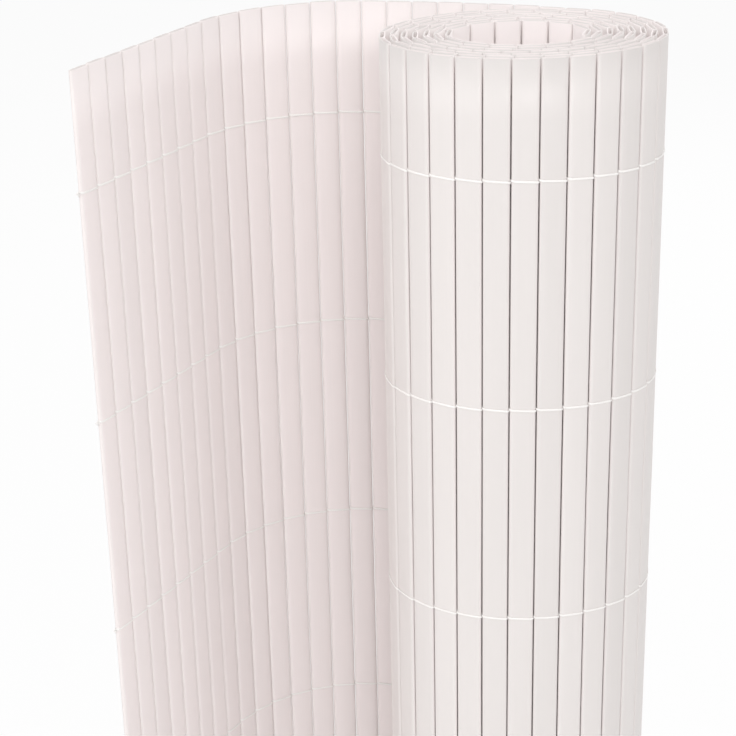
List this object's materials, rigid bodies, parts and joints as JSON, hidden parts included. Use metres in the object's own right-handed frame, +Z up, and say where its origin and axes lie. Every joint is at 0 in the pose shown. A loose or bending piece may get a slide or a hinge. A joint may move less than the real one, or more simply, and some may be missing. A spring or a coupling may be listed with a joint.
{
  "type": "pvc privacy screen",
  "caption": "Roll-up garden privacy screen of hollow white PVC slats on twined threads, stood on end as an oval roll with its outer end unrolled.",
  "frame": {"origin": "middle of the whole screen's box in plan, on the floor that the slats stand on", "axes": "+Z up along the slats, +X from the tail's free end towards the roll, -Y towards the side that the picture is taken from"},
  "size_m": [0.361, 0.1694, 0.9],
  "materials": {
    "white_pvc": "satin extruded PVC",
    "white_thread": "smooth nylon thread"
  },
  "bodies": {
    "root": {"tail_slat_01": "white_pvc", "tail_slat_02": "white_pvc", "tail_slat_03": "white_pvc", "tail_slat_04": "white_pvc", "tail_slat_05": "white_pvc", "tail_slat_06": "white_pvc", "tail_slat_07": "white_pvc", "tail_slat_08": "white_pvc", "tail_slat_09": "white_pvc", "tail_slat_10": "white_pvc", "tail_slat_11": "white_pvc", "tail_slat_12": "white_pvc", "tail_slat_13": "white_pvc", "tail_slat_14": "white_pvc", "tail_slat_15": "white_pvc", "tail_slat_16": "white_pvc", "tail_slat_17": "white_pvc", "tail_slat_18": "white_pvc", "tail_slat_19": "white_pvc", "tail_slat_20": "white_pvc", "tail_slat_21": "white_pvc", "tail_slat_22": "white_pvc", "tail_slat_23": "white_pvc", "turn_1_slats": "white_pvc", "turn_2_slats": "white_pvc", "turn_3_slats": "white_pvc", "turn_4_slats": "white_pvc", "turn_5_slats": "white_pvc", "turn_6_slats": "white_pvc", "turn_7_slats": "white_pvc", "turn_8_slats": "white_pvc", "thread_row_1_inner": "white_thread", "thread_row_1_outer": "white_thread", "thread_row_2_inner": "white_thread", "thread_row_2_outer": "white_thread", "thread_row_3_inner": "white_thread", "thread_row_3_outer": "white_thread", "thread_row_4_inner": "white_thread", "thread_row_4_outer": "white_thread", "thread_row_5_inner": "white_thread", "thread_row_5_outer": "white_thread", "thread_row_6_inner": "white_thread", "thread_row_6_outer": "white_thread"}
  },
  "joints": []
}
